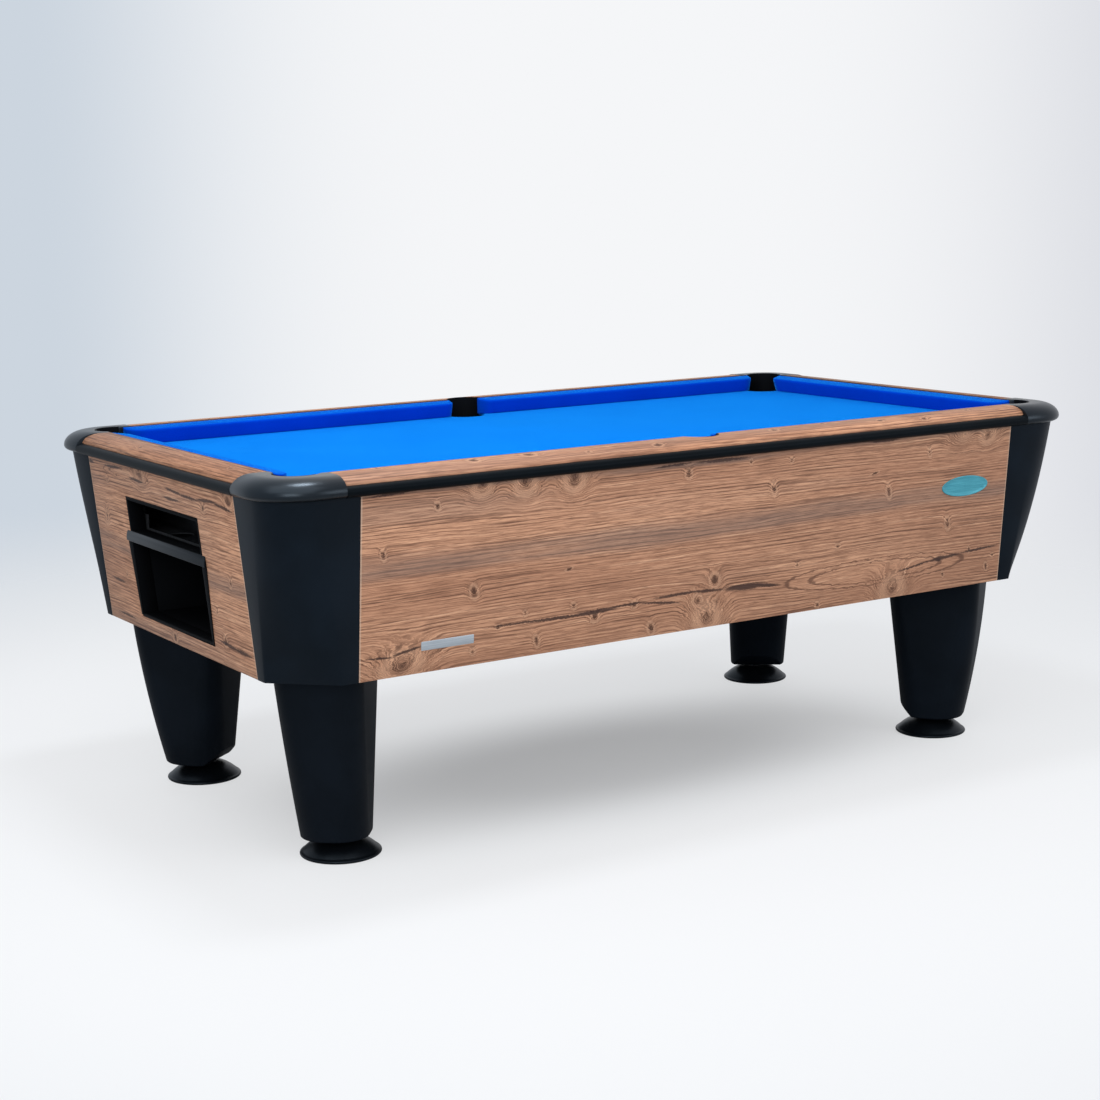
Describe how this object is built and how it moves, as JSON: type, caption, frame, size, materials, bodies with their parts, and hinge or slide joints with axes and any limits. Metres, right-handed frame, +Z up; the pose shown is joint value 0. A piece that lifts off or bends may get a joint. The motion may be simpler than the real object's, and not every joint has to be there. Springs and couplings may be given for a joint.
{
  "type": "english pool table",
  "caption": "Wood-panelled pub pool table with slate bed, blue cloth, black corner mouldings, tapered legs on levelling feet and a ball return in one end.",
  "frame": {"origin": "on the floor under the middle of the table", "axes": "+X along the length, away from the ball return end; +Y across the table towards the back; +Z up"},
  "size_m": [2.1696, 1.2066, 0.8364],
  "materials": {
    "wood_laminate": "satin rustic oak laminate on board",
    "black_trim": "satin black moulded trim",
    "black_moulding": "fine textured black moulding",
    "black_leg": "fine textured black moulding",
    "cushion_cloth": "blue cloth over rubber",
    "bed_cloth": "blue napped cloth",
    "slate": "honed slate",
    "plywood": "bare plywood",
    "zinc_steel": "zinc plated"
  },
  "bodies": {
    "table": {"ball_tray": "black_moulding", "base_board": "plywood", "bearer_plain_inner": "plywood", "bearer_plain_outer": "plywood", "bearer_return_inner": "plywood", "bearer_return_outer": "plywood", "bed_cloth": "bed_cloth", "corner_cap_back_plain": "black_trim", "corner_cap_back_return": "black_trim", "corner_cap_front_plain": "black_trim", "corner_cap_front_return": "black_trim", "corner_post_back_plain": "black_moulding", "corner_post_back_return": "black_moulding", "corner_post_front_plain": "black_moulding", "corner_post_front_return": "black_moulding", "cushion_back_plain": "cushion_cloth", "cushion_back_return": "cushion_cloth", "cushion_front_plain": "cushion_cloth", "cushion_front_return": "cushion_cloth", "cushion_plain_end": "cushion_cloth", "cushion_return_end": "cushion_cloth", "edge_bumper_back": "black_trim", "edge_bumper_front": "black_trim", "edge_bumper_plain": "black_trim", "edge_bumper_return": "black_trim", "end_panel_plain": "wood_laminate", "end_panel_return": "wood_laminate", "gully_floor_back": "plywood", "gully_floor_front": "plywood", "gully_wall_back": "plywood", "gully_wall_front": "plywood", "leg_back_plain": "black_leg", "leg_back_return": "black_leg", "leg_front_plain": "black_leg", "leg_front_return": "black_leg", "pocket_liner_back_middle": "black_moulding", "pocket_liner_back_plain": "black_moulding", "pocket_liner_back_return": "black_moulding", "pocket_liner_front_middle": "black_moulding", "pocket_liner_front_plain": "black_moulding", "pocket_liner_front_return": "black_moulding", "rail_back": "wood_laminate", "rail_front": "wood_laminate", "rail_plain": "wood_laminate", "rail_return": "wood_laminate", "return_bezel": "black_moulding", "return_bin": "black_moulding", "side_panel_back": "wood_laminate", "side_panel_front": "wood_laminate", "slate_bed": "slate"},
    "foot_front_return": {"foot_pad_front_return": "black_moulding"},
    "screw_front_return": {"foot_stem_front_return": "zinc_steel"},
    "foot_front_plain": {"foot_pad_front_plain": "black_moulding"},
    "screw_front_plain": {"foot_stem_front_plain": "zinc_steel"},
    "foot_back_return": {"foot_pad_back_return": "black_moulding"},
    "screw_back_return": {"foot_stem_back_return": "zinc_steel"},
    "foot_back_plain": {"foot_pad_back_plain": "black_moulding"},
    "screw_back_plain": {"foot_stem_back_plain": "zinc_steel"}
  },
  "joints": [
    {"name": "foot_slide_front_return", "type": "slide", "parent": "table", "child": "foot_front_return", "axis": [0, 0, 1], "range_m": [-0.02, 0.005]},
    {"name": "screw_turn_front_return", "type": "hinge", "parent": "foot_front_return", "child": "screw_front_return", "pos_m": [-0.836, -0.359, 0.05], "axis": [0, 0, 1], "range_deg": [-4115.3, 1029.6]},
    {"name": "foot_slide_front_plain", "type": "slide", "parent": "table", "child": "foot_front_plain", "axis": [0, 0, 1], "range_m": [-0.02, 0.005]},
    {"name": "screw_turn_front_plain", "type": "hinge", "parent": "foot_front_plain", "child": "screw_front_plain", "pos_m": [0.836, -0.359, 0.05], "axis": [0, 0, 1], "range_deg": [-4115.3, 1029.6]},
    {"name": "foot_slide_back_return", "type": "slide", "parent": "table", "child": "foot_back_return", "axis": [0, 0, 1], "range_m": [-0.02, 0.005]},
    {"name": "screw_turn_back_return", "type": "hinge", "parent": "foot_back_return", "child": "screw_back_return", "pos_m": [-0.836, 0.359, 0.05], "axis": [0, 0, 1], "range_deg": [-4115.3, 1029.6]},
    {"name": "foot_slide_back_plain", "type": "slide", "parent": "table", "child": "foot_back_plain", "axis": [0, 0, 1], "range_m": [-0.02, 0.005]},
    {"name": "screw_turn_back_plain", "type": "hinge", "parent": "foot_back_plain", "child": "screw_back_plain", "pos_m": [0.836, 0.359, 0.05], "axis": [0, 0, 1], "range_deg": [-4115.3, 1029.6]}
  ],
  "couplings": [
    {"joint": "screw_turn_front_return", "follows": "foot_slide_front_return", "rad_per_m": 3590.4},
    {"joint": "screw_turn_front_plain", "follows": "foot_slide_front_plain", "rad_per_m": 3590.4},
    {"joint": "screw_turn_back_return", "follows": "foot_slide_back_return", "rad_per_m": 3590.4},
    {"joint": "screw_turn_back_plain", "follows": "foot_slide_back_plain", "rad_per_m": 3590.4}
  ]
}
